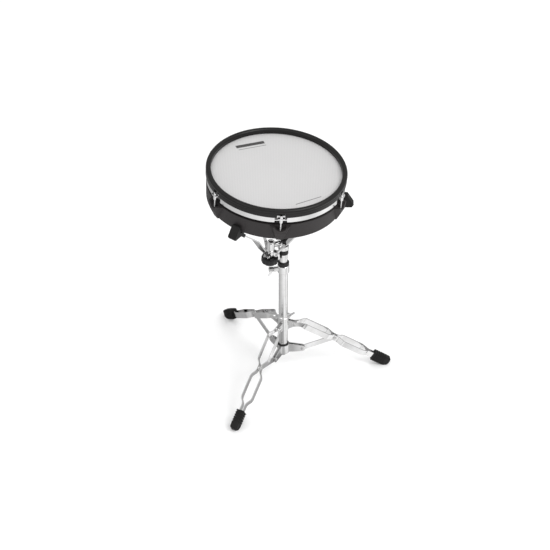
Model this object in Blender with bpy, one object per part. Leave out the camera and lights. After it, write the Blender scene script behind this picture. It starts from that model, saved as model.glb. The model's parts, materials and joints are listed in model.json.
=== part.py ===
"""A drum practice pad with a mesh head, held in a basket on a folding tripod stand.

Metres, +Z up, one object for each separate piece. The stand is laid out about the axis of its
main tube. At the end the whole model moves sideways, so that the origin is the centre of the
model's box on the floor. +X points almost along one leg, and -Y is the player's side.
"""

from math import cos, pi, radians, sin, tan

import bmesh
import bpy
import numpy as np
from mathutils import Matrix, Quaternion, Vector

MM = 0.001
GAP = 0.3 * MM                       # kept between pieces that touch
MERGE = 0.001 * MM

# --- the main tube and what is on it -------------------------------------------------------
TUBE_RADIUS = 11.1 * MM
TUBE_WALL = 1.2 * MM
TUBE_BOTTOM = 50.0 * MM
TUBE_TOP = 304.0 * MM
MAST_RADIUS = 9.52 * MM
MAST_WALL = 1.2 * MM
MAST_BOTTOM = 160.0 * MM
COLLAR_BORE = TUBE_RADIUS + GAP
MAST_BORE = MAST_RADIUS + GAP
BRACE_COLLAR = (50.0 * MM, 75.0 * MM)
LEG_COLLAR = (120.0 * MM, 158.0 * MM)
CLAMP = (287.2 * MM, 307.4 * MM)
BUSHING = (307.8 * MM, 316.5 * MM)
MAST_RING = (339.4 * MM, 350.8 * MM)
TILTER_BLOCK = (351.1 * MM, 362.0 * MM)
BLOCK_RADIUS = 12.5 * MM
BOLT_RADIUS = 3.0 * MM
BOLT_BORE = BOLT_RADIUS + GAP

# --- the legs, in each leg's own plane: (distance from the tube's axis, height) -------------
LEG_AZIMUTHS = (3.9, 123.9, 243.9)
COLLAR_BOLT_AZIMUTH = 63.9
CLAMP_BOLT_AZIMUTH = 190.0
LEG_PIVOT = (26.5 * MM, 134.0 * MM)
LEG_SLOPE = radians(31.5)
SLOPE_START = 49.3 * MM
NECK_HALF_WIDTH = 5.5 * MM
STRIP_HALF_WIDTH = 7.5 * MM
STRIP_THICKNESS = 2.0 * MM
STRIP_PLAN = (                       # (distance from the tube, half of the spread of the two strips)
    (19.5 * MM, 6.0 * MM),
    (40.0 * MM, 6.0 * MM),
    (53.0 * MM, 13.2 * MM),
    (108.0 * MM, 13.2 * MM),
    (119.0 * MM, 3.7 * MM),
    (133.0 * MM, 3.7 * MM),
    (145.0 * MM, 13.2 * MM),
    (195.0 * MM, 13.2 * MM),
    (207.0 * MM, 3.9 * MM),
    (236.0 * MM, 3.9 * MM),
)
WAIST_DISTANCE = 126.0 * MM
PIN_RADIUS = 2.0 * MM
PIN_BORE = PIN_RADIUS + GAP
BRACE_PIVOT = (47.0 * MM, 59.0 * MM)
BRACE_HALF_WIDTH = 6.5 * MM
BRACE_HALF_THICKNESS = 1.2 * MM
BRACE_EYE_RADIUS = 8.2 * MM
BRACE_EYE_BORE = 5.2 * MM            # wide, so that the folding brace clears the waist rivet
FOOT_START = 223.0 * MM
FOOT_LENGTH = 47.0 * MM
FOOT_HALF_HEIGHT = 13.0 * MM
FOOT_HALF_WIDTH = 9.5 * MM
FOOT_RIBS = 5
FOOT_RIB_PITCH = 6.0 * MM
FOOT_RIB_DEPTH = 1.5 * MM

# --- the tilter and the basket --------------------------------------------------------------
HINGE_HEIGHT = 372.0 * MM
HINGE_AZIMUTH = radians(30.0)
TILT = radians(7.1)
SHAFT_OFFSET = 33.9 * MM             # from the tube's axis back along the hinge
SHAFT_RADIUS = 5.0 * MM
SHAFT_BORE = SHAFT_RADIUS + GAP
HINGE_BOLT_RADIUS = 3.5 * MM
HINGE_LUG = (-12.4 * MM, -7.4 * MM)  # along the hinge, from the tube's axis
HINGE_EYE_RADIUS = 6.4 * MM
HUB = (-29.0 * MM, -10.2 * MM)       # heights in the basket are measured from the hinge
TILTER_HEAD = (-9.8 * MM, 11.0 * MM)
NUT = (-47.6 * MM, -31.8 * MM)
NUT_RADIUS = 20.0 * MM
ARM_ANGLES = (-121.5, -1.5, 118.5)
ARM_PIVOT = (15.0 * MM, -22.0 * MM)
ARM_ELBOW = (72.0 * MM, 63.0 * MM)
ARM_END = (150.0 * MM, 136.2 * MM)
ARM_HALF_THICKNESS = 1.5 * MM
GRIP_HALF_WIDTH = 10.0 * MM

# --- the pad: radii, and heights down from the top of its rim -------------------------------
PAD_HEIGHT = 224.4 * MM              # from the hinge, along the basket's shaft
LUG_ANGLES = tuple(-86.15 + 60.0 * index for index in range(6))
ROD_CIRCLE = 158.0 * MM
ROD_RADIUS = 2.25 * MM
ROD_BORE = 2.7 * MM
RIM_BEAD_CENTRE = 150.4 * MM
RIM_BEAD_RADIUS = 5.8 * MM
MESH_TOP = -12.9 * MM
SHELL_TOP = -39.8 * MM
SHELL_BOTTOM = -80.5 * MM
SHELL_RADIUS = 154.6 * MM
SHELL_WALL = 3.0 * MM
EAR = (-19.5 * MM, -16.7 * MM)
EAR_HALF_WIDTH = 7.6 * MM

RING_STEPS = 40
TUBE_STEPS = 24
SMALL_STEPS = 16
HOLE_STEPS = 10
PIN_STEPS = 8

CHROME = ((0.80, 0.80, 0.81), 0.12, 1.0)
STEEL = ((0.62, 0.62, 0.63), 0.28, 1.0)
RUBBER = ((0.022, 0.021, 0.021), 0.55, 0.0)
BLACK_PLASTIC = ((0.030, 0.029, 0.030), 0.38, 0.0)
SHELL_PLASTIC = ((0.045, 0.041, 0.042), 0.48, 0.0)
MESH = ((0.70, 0.69, 0.69), 0.62, 0.0)
FOAM = ((0.06, 0.06, 0.065), 0.9, 0.0)


# --- scene helpers --------------------------------------------------------------------------
def clear_scene():
    for old in list(bpy.data.objects):
        bpy.data.objects.remove(old, do_unlink=True)


def make_material(name, look):
    colour, roughness, metallic = look
    material = bpy.data.materials.new(name)
    material.use_nodes = True
    shader = material.node_tree.nodes["Principled BSDF"]
    shader.inputs["Base Color"].default_value = (*colour, 1.0)
    shader.inputs["Roughness"].default_value = roughness
    shader.inputs["Metallic"].default_value = metallic
    material.diffuse_color = (*colour, 1.0)
    return material


def add_empty(name, parent=None, location=(0.0, 0.0, 0.0), rotation=None):
    empty = bpy.data.objects.new(name, None)
    empty.empty_display_size = 0.02
    bpy.context.scene.collection.objects.link(empty)
    place(empty, parent, location, rotation)
    return empty


def place(item, parent, location, rotation):
    item.parent = parent
    item.location = location
    item.rotation_mode = "QUATERNION"
    if rotation is not None:
        item.rotation_quaternion = rotation


def about_z(degrees):
    return Quaternion((0.0, 0.0, 1.0), radians(degrees))


def add_piece(name, shape, look, parent, location=(0.0, 0.0, 0.0), rotation=None):
    """Turn a bmesh into a smooth-shaded object with a material of its own."""
    bmesh.ops.recalc_face_normals(shape, faces=shape.faces)
    mesh = bpy.data.meshes.new(name)
    shape.to_mesh(mesh)
    shape.free()
    mesh.shade_smooth()
    mesh.set_sharp_from_angle(angle=radians(35.0))
    piece = bpy.data.objects.new(name, mesh)
    bpy.context.scene.collection.objects.link(piece)
    place(piece, parent, location, rotation)
    if look is not None:
        mesh.materials.append(make_material(name, look))
    return piece


def use_boolean(piece, operation, shape, label):
    """Join a shape to a piece, or cut it away. The shape is in the piece's own coordinates."""
    tool = add_piece(f"{piece.name}_{label}", shape, None, piece)
    tool.hide_render = True
    tool.display_type = "WIRE"
    modifier = piece.modifiers.new(label, "BOOLEAN")
    modifier.operation = operation
    modifier.solver = "EXACT"
    modifier.object = tool


def join(piece, shape, label):
    use_boolean(piece, "UNION", shape, label)


def cut(piece, shape, label):
    use_boolean(piece, "DIFFERENCE", shape, label)


# --- shape helpers --------------------------------------------------------------------------
def spun(outline, steps):
    """A solid turned about Z from a closed outline of (radius, height) points."""
    shape = bmesh.new()
    corners = [shape.verts.new((radius, 0.0, height)) for radius, height in outline]
    edges = []
    for first, second in zip(corners, corners[1:] + corners[:1]):
        if max(first.co.x, second.co.x) > MERGE:
            edges.append(shape.edges.new((first, second)))
    bmesh.ops.spin(
        shape, geom=corners + edges, axis=(0.0, 0.0, 1.0), cent=(0.0, 0.0, 0.0),
        angle=2.0 * pi, steps=steps, use_merge=True,
    )
    bmesh.ops.remove_doubles(shape, verts=shape.verts, dist=MERGE)
    return shape


def ring(inner, outer, low, high, steps, chamfer=0.0):
    """A tube about Z, with its outer edges chamfered."""
    outline = [(inner, low), (outer - chamfer, low), (outer, low + chamfer)]
    outline += [(outer, high - chamfer), (outer - chamfer, high), (inner, high)]
    if not chamfer:
        outline = [(inner, low), (outer, low), (outer, high), (inner, high)]
    return spun(outline, steps)


def rod(radius, low, high, steps, chamfer=0.0):
    """A round bar about Z, with its edges chamfered."""
    outline = [(0.0, low), (radius - chamfer, low), (radius, low + chamfer)]
    outline += [(radius, high - chamfer), (radius - chamfer, high), (0.0, high)]
    if not chamfer:
        outline = [(0.0, low), (radius, low), (radius, high), (0.0, high)]
    return spun(outline, steps)


def lofted(sections):
    """A solid through rings of points, all with the same count, closed by its two end rings."""
    shape = bmesh.new()
    rings = [[shape.verts.new(point) for point in section] for section in sections]
    count = len(rings[0])
    for lower, upper in zip(rings, rings[1:]):
        for index in range(count):
            after = (index + 1) % count
            shape.faces.new((lower[index], lower[after], upper[after], upper[index]))
    shape.faces.new(rings[0])
    shape.faces.new(rings[-1])
    return shape


def plate(outline, low, high):
    """An outline of (x, z) points, thick from y = low to y = high."""
    sections = []
    for y in (low, high):
        sections.append([(x, y, z) for x, z in outline])
    return lofted(sections)


def slab(outline, low, high):
    """An outline of (x, y) points, thick from z = low to z = high."""
    sections = []
    for z in (low, high):
        sections.append([(x, y, z) for x, y in outline])
    return lofted(sections)


def box(low, high):
    outline = [(low[0], low[1]), (high[0], low[1]), (high[0], high[1]), (low[0], high[1])]
    return slab(outline, low[2], high[2])


def moved(shape, location=(0.0, 0.0, 0.0), rotation=None):
    """Turn a shape, then move it."""
    matrix = Matrix.Translation(location)
    if rotation is not None:
        matrix = matrix @ rotation.to_matrix().to_4x4()
    bmesh.ops.transform(shape, matrix=matrix, verts=shape.verts)
    return shape


def along_x(shape):
    """Lay a shape that stands on Z along +X."""
    return moved(shape, rotation=Quaternion((0.0, 1.0, 0.0), pi / 2.0))


def along_y(shape):
    """Lay a shape that stands on Z along -Y, which suits the symmetrical pins."""
    return moved(shape, rotation=Quaternion((1.0, 0.0, 0.0), pi / 2.0))


def gathered(shapes):
    """Several shapes that don't touch, as one boolean tool."""
    whole = bmesh.new()
    for shape in shapes:
        bmesh.ops.recalc_face_normals(shape, faces=shape.faces)
        carrier = bpy.data.meshes.new("carrier")
        shape.to_mesh(carrier)
        shape.free()
        whole.from_mesh(carrier)
        bpy.data.meshes.remove(carrier)
    return whole


def arc(centre, radius, start, end, steps):
    """Points along an arc, from start to end in degrees, in the outline's own plane."""
    points = []
    for angle in np.linspace(radians(start), radians(end), steps + 1):
        points.append((centre[0] + radius * cos(angle), centre[1] + radius * sin(angle)))
    return points


def softened(path, radius, steps):
    """An open path with each inner corner replaced by a short curve."""
    points = [Vector(point) for point in path]
    result = [points[0]]
    for before, corner, after in zip(points, points[1:], points[2:]):
        start = corner + (before - corner).normalized() * radius
        end = corner + (after - corner).normalized() * radius
        for part in np.linspace(0.0, 1.0, steps + 1):
            result.append(start.lerp(corner, part).lerp(corner.lerp(end, part), part))
    result.append(points[-1])
    return result


def shifted(path, distance):
    """A plane path moved sideways to its left, with mitred corners."""
    result = []
    for index, point in enumerate(path):
        before = path[max(index - 1, 0)]
        after = path[min(index + 1, len(path) - 1)]
        arriving = (point - before).normalized() if index else (after - point).normalized()
        leaving = (after - point).normalized() if index < len(path) - 1 else arriving
        middle = (arriving + leaving).normalized()
        sideways = Vector((-middle.y, middle.x))
        result.append(point + sideways * (distance / middle.dot(arriving)))
    return result


# --- pieces that repeat ---------------------------------------------------------------------
def pin_shape(half_length, head_radius, head_height, radius=PIN_RADIUS):
    """A rivet along Y, the same at both ends."""
    top = half_length + head_height
    outline = [(0.0, -top), (head_radius, -top), (head_radius, -half_length)]
    outline += [(radius, -half_length), (radius, half_length)]
    outline += [(head_radius, half_length), (head_radius, top), (0.0, top)]
    return along_y(spun(outline, PIN_STEPS))


def add_winged_bolt(name, look, parent, tip, shoulder, end, shaft, hub, span, turn):
    """A bolt along +X from its tip, with a round hub and two wings from its shoulder to its end."""
    outline = [(0.0, tip), (shaft, tip), (shaft, shoulder), (hub, shoulder)]
    outline += [(hub, end - 0.2 * hub), (0.8 * hub, end), (0.0, end)]
    piece = add_piece(name, along_x(spun(outline, PIN_STEPS)), look, parent)
    length = end - shoulder
    wing = [(shoulder + 0.15 * length, 0.0), (end - 0.2 * length, 0.0)]
    wing += [(end - 0.1 * length, 0.5 * span), (end + 0.35 * length, 0.86 * span)]
    wing += arc((end + 0.12 * length, 0.84 * span), 0.16 * span, 10.0, 150.0, 4)
    wing += [(shoulder + 0.35 * length, 0.55 * span)]
    for side, label in ((turn, "wing"), (turn + pi, "other_wing")):
        blade = moved(plate(wing, -1.8 * MM, 1.8 * MM), rotation=Quaternion((1.0, 0.0, 0.0), side))
        join(piece, blade, label)
    return piece


def bolt_boss():
    """The round boss on a sleeve that a clamping bolt screws into, along +X."""
    return along_x(rod(6.0 * MM, COLLAR_BORE + 1.0 * MM, 23.0 * MM, SMALL_STEPS))


def bolt_hole():
    return along_x(rod(BOLT_BORE, 0.0, 30.0 * MM, HOLE_STEPS))


# --- the tube, the mast and their fittings --------------------------------------------------
def add_tubes(stand, mast):
    inner = TUBE_RADIUS - TUBE_WALL
    add_piece("lower_tube", ring(inner, TUBE_RADIUS, TUBE_BOTTOM, TUBE_TOP, TUBE_STEPS), CHROME, stand)
    plug = [(0.0, 46.0 * MM), (TUBE_RADIUS - 1.0 * MM, 46.0 * MM), (TUBE_RADIUS, 47.0 * MM)]
    plug += [(TUBE_RADIUS, TUBE_BOTTOM - GAP), (inner - GAP, TUBE_BOTTOM - GAP)]
    plug += [(inner - GAP, 60.0 * MM), (0.0, 60.0 * MM)]
    add_piece("tube_end_cap", spun(plug, TUBE_STEPS), BLACK_PLASTIC, stand)
    top = TILTER_BLOCK[1] - 3.0 * MM - GAP
    wall = ring(MAST_RADIUS - MAST_WALL, MAST_RADIUS, MAST_BOTTOM, top, TUBE_STEPS)
    moved(wall, (0.0, 0.0, -HINGE_HEIGHT))
    add_piece("upper_tube", wall, CHROME, mast)
    sleeve = ring(MAST_BORE, 13.5 * MM, *BUSHING, TUBE_STEPS, 1.0 * MM)
    add_piece("tube_bushing", sleeve, BLACK_PLASTIC, stand)


def add_height_clamp(stand):
    turn = about_z(CLAMP_BOLT_AZIMUTH)
    middle = 0.5 * (CLAMP[0] + CLAMP[1])
    sleeve = ring(COLLAR_BORE, 14.0 * MM, CLAMP[0], CLAMP[1], TUBE_STEPS, 1.0 * MM)
    moved(sleeve, (0.0, 0.0, -middle))
    clamp = add_piece("height_clamp", sleeve, CHROME, stand, (0.0, 0.0, middle), turn)
    join(clamp, bolt_boss(), "boss")
    cut(clamp, ring(0.0, COLLAR_BORE, -15.0 * MM, 15.0 * MM, TUBE_STEPS), "tube_bore")
    cut(clamp, bolt_hole(), "bolt_bore")
    axis = add_empty("height_bolt_axis", stand, (0.0, 0.0, middle), turn)
    add_winged_bolt(
        "height_wing_bolt", CHROME, axis, tip=COLLAR_BORE + GAP, shoulder=24.0 * MM, end=35.0 * MM,
        shaft=BOLT_RADIUS, hub=6.0 * MM, span=15.5 * MM, turn=radians(35.0),
    )


def add_tilter_base(swivel):
    """The cap on the mast, with the lug that carries the hinge. Its origin is on the hinge."""
    low, high = (height - HINGE_HEIGHT for height in TILTER_BLOCK)
    roof = high - 3.0 * MM
    outline = [(0.0, roof), (MAST_BORE, roof), (MAST_BORE, low), (BLOCK_RADIUS - 1.0 * MM, low)]
    outline += [(BLOCK_RADIUS, low + 1.0 * MM), (BLOCK_RADIUS, high - 1.0 * MM)]
    outline += [(BLOCK_RADIUS - 1.0 * MM, high), (0.0, high)]
    base = add_piece("tilter_base", spun(outline, TUBE_STEPS), CHROME, swivel)
    lug = [(-HINGE_EYE_RADIUS, low + 4.0 * MM), (HINGE_EYE_RADIUS, low + 4.0 * MM)]
    lug += arc((0.0, 0.0), HINGE_EYE_RADIUS, 0.0, 180.0, 8)
    shape = plate(lug, -HINGE_LUG[1], -HINGE_LUG[0])
    join(base, moved(shape, rotation=about_z(90.0)), "lug")
    cut(base, ring(0.0, MAST_BORE, low - 1.0 * MM, roof, TUBE_STEPS), "mast_bore")
    cut(base, along_x(rod(HINGE_BOLT_RADIUS + GAP, -20.0 * MM, -5.0 * MM, HOLE_STEPS)), "hinge_bore")


def add_mast_ring(mast):
    low, high = (height - HINGE_HEIGHT for height in MAST_RING)
    add_piece("mast_ring", ring(MAST_BORE, 11.6 * MM, low, high, TUBE_STEPS, 0.8 * MM), BLACK_PLASTIC, mast)


def add_tilter_bolt(swivel):
    """The black handle whose bolt clamps the hinge, lying along the hinge over the mast."""
    start = HINGE_LUG[1] + GAP
    tip = -SHAFT_OFFSET + 12.5 * MM
    handle_end = 13.2 * MM
    outline = [(0.0, tip), (HINGE_BOLT_RADIUS, tip), (HINGE_BOLT_RADIUS, start)]
    outline += [(5.6 * MM, start), (6.3 * MM, start + 0.8 * MM), (6.3 * MM, handle_end)]
    outline += [(5.2 * MM, handle_end + 1.5 * MM), (5.2 * MM, 22.0 * MM)]
    outline += [(4.2 * MM, 23.5 * MM), (0.0, 23.5 * MM)]
    piece = add_piece("tilter_wing_bolt", along_x(spun(outline, SMALL_STEPS)), BLACK_PLASTIC, swivel)
    wing = [(15.0 * MM, 0.0), (21.5 * MM, 0.0), (22.0 * MM, 9.0 * MM)]
    wing += arc((20.0 * MM, 12.5 * MM), 3.6 * MM, 0.0, 180.0, 4)
    wing += [(15.0 * MM, 9.0 * MM)]
    for side, label in ((0.0, "wing"), (pi, "other_wing")):
        blade = plate(wing, -1.7 * MM, 1.7 * MM)
        join(piece, moved(blade, rotation=Quaternion((1.0, 0.0, 0.0), side + radians(40.0))), label)


# --- the tripod -----------------------------------------------------------------------------
def slope_height(distance):
    """Height of the leg's centre line, level as far as the slope's start and straight after it."""
    return LEG_PIVOT[1] - max(0.0, distance - SLOPE_START) * tan(LEG_SLOPE)


def strip_corner(distance, sideways, edge):
    """A point on a strip: edge is -1 on its lower edge and 1 on its upper edge."""
    along = min(max((distance - 44.0 * MM) / (8.0 * MM), 0.0), 1.0)
    half_width = NECK_HALF_WIDTH + along * (STRIP_HALF_WIDTH - NECK_HALF_WIDTH)
    lean = along * LEG_SLOPE
    return (
        distance + edge * half_width * sin(lean),
        sideways,
        slope_height(distance) + edge * half_width * cos(lean),
    )


def strip_shape(side):
    """One of a leg's two flat strips, bent apart twice. side is -1 or 1."""
    path = softened([(distance, side * spread) for distance, spread in STRIP_PLAN], 2.6 * MM, 1)
    left = shifted(path, 0.5 * STRIP_THICKNESS)
    right = shifted(path, -0.5 * STRIP_THICKNESS)
    sections = []
    for outer, inner in zip(left, right):
        corners = ((outer, -1), (inner, -1), (inner, 1), (outer, 1))
        sections.append([strip_corner(point.x, point.y, edge) for point, edge in corners])
    return lofted(sections)


def waist_point():
    return (WAIST_DISTANCE, slope_height(WAIST_DISTANCE))


def leg_local(shape):
    """Move a shape from the leg's plane to the leg pivot's own coordinates."""
    return moved(shape, (-LEG_PIVOT[0], 0.0, -LEG_PIVOT[1]))


def cross_hole(point, radius):
    return moved(along_y(rod(radius, -20.0 * MM, 20.0 * MM, HOLE_STEPS)), (point[0], 0.0, point[1]))


def foot_section(distance, shrink):
    """A chamfered rectangle across the foot, at a distance along the leg's slope."""
    taper = 1.0 - 0.18 * max(0.0, distance / FOOT_LENGTH - 0.55)
    half_width = FOOT_HALF_WIDTH * taper - shrink
    half_height = FOOT_HALF_HEIGHT * taper - shrink
    chamfer = 2.6 * MM
    quarter = [(half_width, half_height - chamfer), (half_width - chamfer, half_height)]
    outline = quarter + [(-y, h) for y, h in reversed(quarter)]
    outline += [(-y, -h) for y, h in outline]
    points = []
    for y, height in outline:
        x = FOOT_START + distance * cos(LEG_SLOPE) + height * sin(LEG_SLOPE)
        z = slope_height(FOOT_START) - distance * sin(LEG_SLOPE) + height * cos(LEG_SLOPE)
        points.append((x, y, z))
    return points


def foot_shape():
    """A rubber shoe with ribs round its inner part and a smooth tip."""
    sections = [foot_section(0.0, 0.0)]
    for index in range(FOOT_RIBS):
        start = 3.0 * MM + index * FOOT_RIB_PITCH
        sections.append(foot_section(start, 0.0))
        sections.append(foot_section(start, FOOT_RIB_DEPTH))
        sections.append(foot_section(start + 2.4 * MM, FOOT_RIB_DEPTH))
        sections.append(foot_section(start + 2.4 * MM, 0.0))
    sections.append(foot_section(FOOT_LENGTH - 3.5 * MM, 0.0))
    sections.append(foot_section(FOOT_LENGTH, 3.2 * MM))
    return lofted(sections)


def foot_pocket():
    """The slot in the foot for the ends of the two strips."""
    sections = []
    end = STRIP_PLAN[-1][0] + GAP
    for distance in (FOOT_START - 12.0 * MM, end + STRIP_HALF_WIDTH * sin(LEG_SLOPE)):
        x, z = distance, slope_height(distance)
        half_width = STRIP_PLAN[-1][1] + 0.5 * STRIP_THICKNESS + GAP
        half_height = STRIP_HALF_WIDTH + GAP
        section = []
        for y, height in ((-1, -1), (1, -1), (1, 1), (-1, 1)):
            section.append((
                x + height * half_height * sin(LEG_SLOPE),
                y * half_width,
                z + height * half_height * cos(LEG_SLOPE),
            ))
        sections.append(section)
    return lofted(sections)


def add_leg(index, azimuth, stand, collar):
    turn = about_z(azimuth)
    across = Vector((cos(radians(azimuth)), sin(radians(azimuth)), 0.0))
    collar_height = sum(LEG_COLLAR) / 2.0
    pivot = across * LEG_PIVOT[0] + Vector((0.0, 0.0, LEG_PIVOT[1] - collar_height))
    leg = add_empty(f"leg_{index}_pivot", collar, pivot, turn)
    for side, name in ((1, "left"), (-1, "right")):
        strip = add_piece(f"leg_{index}_{name}_strip", leg_local(strip_shape(side)), CHROME, leg)
        cut(strip, leg_local(cross_hole(LEG_PIVOT, PIN_BORE)), "pivot_hole")
        cut(strip, leg_local(cross_hole(waist_point(), PIN_BORE)), "waist_hole")
    waist = Vector((waist_point()[0] - LEG_PIVOT[0], 0.0, waist_point()[1] - LEG_PIVOT[1]))
    add_piece(f"leg_{index}_waist_rivet", pin_shape(5.0 * MM, 4.4 * MM, 1.4 * MM), STEEL, leg, waist)
    foot = add_piece(f"leg_{index}_foot", leg_local(foot_shape()), RUBBER, leg)
    cut(foot, leg_local(foot_pocket()), "pocket")
    floor = box((180.0 * MM, -30.0 * MM, -40.0 * MM), (300.0 * MM, 30.0 * MM, 0.0))
    cut(foot, leg_local(floor), "floor")
    add_piece(f"leg_{index}_pin", pin_shape(7.3 * MM, 4.0 * MM, 1.4 * MM), STEEL, collar, pivot, turn)
    add_brace(index, across, turn, stand)


def add_brace(index, across, turn, stand):
    pivot = across * BRACE_PIVOT[0] + Vector((0.0, 0.0, BRACE_PIVOT[1]))
    axis = add_empty(f"brace_{index}_pivot", stand, pivot, turn)
    reach = Vector(waist_point()) - Vector(BRACE_PIVOT)
    length = reach.length
    lean = Quaternion((0.0, 1.0, 0.0), -reach.angle_signed(Vector((1.0, 0.0))))
    outline = arc((0.0, 0.0), BRACE_HALF_WIDTH, 90.0, 270.0, 6)
    outline += [(length - 14.0 * MM, -BRACE_HALF_WIDTH)]
    outline += arc((length, 0.0), BRACE_EYE_RADIUS, -120.0, 120.0, 10)
    outline += [(length - 14.0 * MM, BRACE_HALF_WIDTH)]
    bar = plate(outline, -BRACE_HALF_THICKNESS, BRACE_HALF_THICKNESS)
    brace = add_piece(f"brace_{index}", moved(bar, rotation=lean), CHROME, axis)
    cut(brace, along_y(rod(PIN_BORE, -5.0 * MM, 5.0 * MM, HOLE_STEPS)), "pivot_hole")
    eye = moved(along_y(rod(BRACE_EYE_BORE, -5.0 * MM, 5.0 * MM, SMALL_STEPS)), (length, 0.0, 0.0))
    cut(brace, moved(eye, rotation=lean), "waist_hole")
    add_piece(f"brace_{index}_pin", pin_shape(4.9 * MM, 4.0 * MM, 1.4 * MM), STEEL, stand, pivot, turn)


def ear_pairs(outline, inner, outer, azimuths):
    """Two plates for each leg, standing out of a sleeve."""
    plates = []
    for azimuth in azimuths:
        for low, high in ((inner, outer), (-outer, -inner)):
            plates.append(moved(plate(outline, low, high), rotation=about_z(azimuth)))
    return gathered(plates)


def ear_holes(pivot, azimuths):
    holes = []
    for azimuth in azimuths:
        holes.append(moved(cross_hole(pivot, PIN_BORE), rotation=about_z(azimuth)))
    return gathered(holes)


def add_brace_collar(stand):
    low, high = BRACE_COLLAR
    sleeve = ring(COLLAR_BORE, 14.4 * MM, low, high, TUBE_STEPS)
    collar = add_piece("brace_collar", sleeve, CHROME, stand)
    outline = [(12.6 * MM, low + 0.5 * MM), (40.0 * MM, low + 0.9 * MM)]
    outline += arc(BRACE_PIVOT, 7.6 * MM, -80.0, 80.0, 5)
    outline += [(30.0 * MM, high - 4.5 * MM), (12.6 * MM, high - 0.5 * MM)]
    join(collar, ear_pairs(outline, 2.4 * MM, 4.6 * MM, LEG_AZIMUTHS), "ears")
    cut(collar, ear_holes(BRACE_PIVOT, LEG_AZIMUTHS), "pin_holes")
    washer = ring(COLLAR_BORE, 13.6 * MM, high + GAP, high + 3.0 * MM, TUBE_STEPS, 0.6 * MM)
    add_piece("collar_washer", washer, BLACK_PLASTIC, stand)


def add_leg_collar(collar):
    """The sleeve that slides on the tube and carries the legs. Its origin is its own middle."""
    half = 0.5 * (LEG_COLLAR[1] - LEG_COLLAR[0])
    pivot = (LEG_PIVOT[0], LEG_PIVOT[1] - sum(LEG_COLLAR) / 2.0)
    sleeve = ring(COLLAR_BORE, 13.4 * MM, -half, half, TUBE_STEPS, 0.6 * MM)
    piece = add_piece("leg_collar", sleeve, CHROME, collar)
    outline = [(12.3 * MM, -half + 2.0 * MM), (pivot[0], pivot[1] - 7.0 * MM)]
    outline += arc(pivot, 7.0 * MM, -70.0, 70.0, 5)
    outline += [(pivot[0], pivot[1] + 7.0 * MM), (12.3 * MM, pivot[1] + 12.0 * MM)]
    join(piece, ear_pairs(outline, 2.5 * MM, 4.6 * MM, LEG_AZIMUTHS), "ears")
    join(piece, moved(bolt_boss(), rotation=about_z(COLLAR_BOLT_AZIMUTH)), "boss")
    cut(piece, ring(0.0, COLLAR_BORE, -half - 1.0 * MM, half + 1.0 * MM, TUBE_STEPS), "tube_bore")
    cut(piece, ear_holes(pivot, LEG_AZIMUTHS), "pin_holes")
    cut(piece, moved(bolt_hole(), rotation=about_z(COLLAR_BOLT_AZIMUTH)), "bolt_bore")
    axis = add_empty("collar_bolt_axis", collar, (0.0, 0.0, 0.0), about_z(COLLAR_BOLT_AZIMUTH))
    add_winged_bolt(
        "collar_wing_bolt", CHROME, axis, tip=COLLAR_BORE + GAP, shoulder=24.0 * MM, end=35.0 * MM,
        shaft=BOLT_RADIUS, hub=6.0 * MM, span=15.0 * MM, turn=radians(60.0),
    )


# --- the basket -----------------------------------------------------------------------------
def arm_stations():
    """(centre, half width, half thickness) along an arm, from behind its pivot to its tip."""
    pivot, elbow, end = (Vector(point) for point in (ARM_PIVOT, ARM_ELBOW, ARM_END))
    rise = (elbow - pivot).normalized()
    slope = (end - elbow).normalized()
    thin = ARM_HALF_THICKNESS
    return [
        (pivot - rise * 4.6 * MM, rise, 3.5 * MM, 2.4 * MM),
        (pivot - rise * 2.6 * MM, rise, 3.5 * MM, 3.8 * MM),
        (pivot + rise * 4.0 * MM, rise, 3.5 * MM, 3.8 * MM),
        (pivot + rise * 9.0 * MM, rise, 3.4 * MM, thin),
        (pivot + rise * 28.0 * MM, rise, 3.4 * MM, thin),
        (pivot + rise * 44.0 * MM, rise, 9.0 * MM, thin),
        (elbow - rise * 8.0 * MM, rise, 9.5 * MM, thin),
        (elbow - rise * 2.5 * MM, (rise * 3.0 + slope).normalized(), 9.5 * MM, thin),
        (elbow + slope * 2.5 * MM, (rise + slope * 3.0).normalized(), 9.5 * MM, thin),
        (elbow + slope * 12.0 * MM, slope, 6.5 * MM, thin),
        (end, slope, 6.5 * MM, thin),
    ]


def arm_section(centre, direction, half_width, half_thickness):
    across = Vector((-direction.y, direction.x)) * half_thickness
    section = []
    for side, face in ((-1, -1), (1, -1), (1, 1), (-1, 1)):
        point = centre + across * face
        section.append((point.x, side * half_width, point.y))
    return section


def grip_outline():
    """The rubber grip from the side: a wall beside the shell, a foot under it and a sleeve."""
    inner = SHELL_RADIUS + 0.7 * MM
    shelf = PAD_HEIGHT + SHELL_BOTTOM - GAP
    return [
        (inner, 162.5 * MM), (inner + 6.5 * MM, 162.5 * MM), (177.5 * MM, 140.0 * MM),
        (174.0 * MM, 133.5 * MM), (151.0 * MM, 131.8 * MM), (136.8 * MM, 118.2 * MM),
        (131.2 * MM, 124.2 * MM), (139.5 * MM, 132.6 * MM), (139.5 * MM, shelf), (inner, shelf),
    ]


def grip_shape():
    """The outline made thick, with its outer edges drawn in a little towards the two sides."""
    centre = Vector((154.0 * MM, 137.0 * MM))
    sections = []
    rounding = ((-1.0, 0.95), (-0.8, 1.0), (0.8, 1.0), (1.0, 0.95))
    for side, size in rounding:
        section = []
        for point in grip_outline():
            shrunk = centre.lerp(Vector(point), size)
            section.append((shrunk.x, side * GRIP_HALF_WIDTH, shrunk.y))
        sections.append(section)
    return lofted(sections)


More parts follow.
